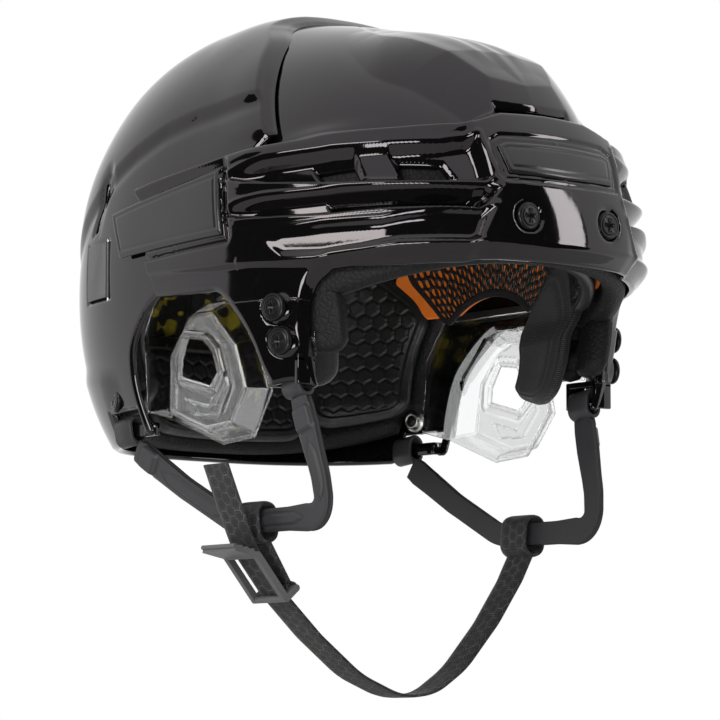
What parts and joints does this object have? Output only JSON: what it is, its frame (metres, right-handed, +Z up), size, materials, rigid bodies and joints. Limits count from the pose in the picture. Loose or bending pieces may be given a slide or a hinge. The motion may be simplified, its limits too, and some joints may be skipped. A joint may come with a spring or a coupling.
{
  "type": "ice hockey helmet",
  "caption": "Glossy black two-piece ice hockey helmet with clear ear guards, foam liners, side size locks, moulded harness loops and a chin strap with a buckle.",
  "frame": {"origin": "middle of the head, level with the lower edge of the brow", "axes": "+Z up as worn, -Y towards the face, +X towards the wearer's left; the helmet is alike on both sides of the YZ plane, except for the strap"},
  "size_m": [0.2274, 0.2875, 0.3233],
  "materials": {
    "shell_black": "glossy moulded plastic",
    "foam_black": "matt closed cell foam",
    "insert_orange": "matt elastic layer",
    "printed_black": "matt printed lattice",
    "pad_black": "embossed skin over soft foam",
    "pad_mesh": "open mesh fabric over foam",
    "film_yellow": "satin printed film",
    "badge_black": "glossy bare plate",
    "badge_side": "satin bare plate",
    "guard_clear": "clear moulded plastic",
    "rack_black": "matt moulded plastic",
    "lever_grey": "satin moulded plastic",
    "harness_grey": "soft moulded strap, matt",
    "web_black": "woven webbing with a printed pattern",
    "buckle_grey": "matt moulded plastic",
    "screw_steel": "black coated steel",
    "nut_steel": "plated steel"
  },
  "bodies": {
    "helmet_front": {"front_shell": "shell_black", "front_liner": "foam_black", "impact_insert": "insert_orange", "forehead_pad": "printed_black", "crown_pad": "printed_black", "brow_badge": "badge_black", "brow_screws": "screw_steel", "brow_nuts": "nut_steel", "temple_screws": "screw_steel", "temple_nuts": "nut_steel", "right_temple_liner": "foam_black", "left_temple_liner": "foam_black", "right_temple_pad": "pad_mesh", "left_temple_pad": "pad_mesh", "right_slip_film": "film_yellow", "left_slip_film": "film_yellow", "right_side_badge": "badge_side", "left_side_badge": "badge_side", "right_ear_guard": "guard_clear", "left_ear_guard": "guard_clear", "right_adjust_rack": "rack_black", "left_adjust_rack": "rack_black"},
    "helmet_rear": {"rear_shell": "shell_black", "rear_liner": "foam_black", "nape_pad": "pad_black", "lever_pins": "nut_steel", "rear_screws": "screw_steel", "rear_nuts": "nut_steel", "right_rear_pad": "pad_black", "left_rear_pad": "pad_black"},
    "right_lock_lever": {"right_lock_lever": "lever_grey"},
    "left_lock_lever": {"left_lock_lever": "lever_grey"},
    "right_harness": {"right_harness": "harness_grey"},
    "left_harness": {"left_harness": "harness_grey"},
    "strap": {"chin_strap": "web_black", "anchor_web": "web_black", "strap_buckle": "buckle_grey"}
  },
  "joints": [
    {"name": "size_slide", "type": "slide", "parent": "helmet_front", "child": "helmet_rear", "axis": [0, 1, 0], "range_m": [0, 0.008]},
    {"name": "right_lock", "type": "hinge", "parent": "helmet_rear", "child": "right_lock_lever", "pos_m": [-0.10318, 0.0635, -0.008], "axis": [0, 0, 1], "range_deg": [0, 60]},
    {"name": "left_lock", "type": "hinge", "parent": "helmet_rear", "child": "left_lock_lever", "pos_m": [0.10318, 0.0635, -0.008], "axis": [0, 0, -1], "range_deg": [0, 60]},
    {"name": "right_loop_swing", "type": "hinge", "parent": "helmet_front", "child": "right_harness", "pos_m": [-0.0865, -0.057, -0.056], "axis": [0.0104, 0.9943, -0.1057], "range_deg": [-15, 15]},
    {"name": "left_loop_swing", "type": "hinge", "parent": "helmet_front", "child": "left_harness", "pos_m": [0.0865, -0.057, -0.056], "axis": [-0.0104, 0.9943, -0.1057], "range_deg": [-15.5, 15.5]},
    {"name": "strap_turn", "type": "hinge", "parent": "right_harness", "child": "strap", "pos_m": [-0.08064, -0.02, -0.11571], "axis": [0, 1, 0], "range_deg": [-17, 17]}
  ],
  "couplings": [
    {"joint": "left_loop_swing", "follows": "right_loop_swing", "ratio": 1},
    {"joint": "strap_turn", "follows": "right_loop_swing", "ratio": -1.061}
  ]
}
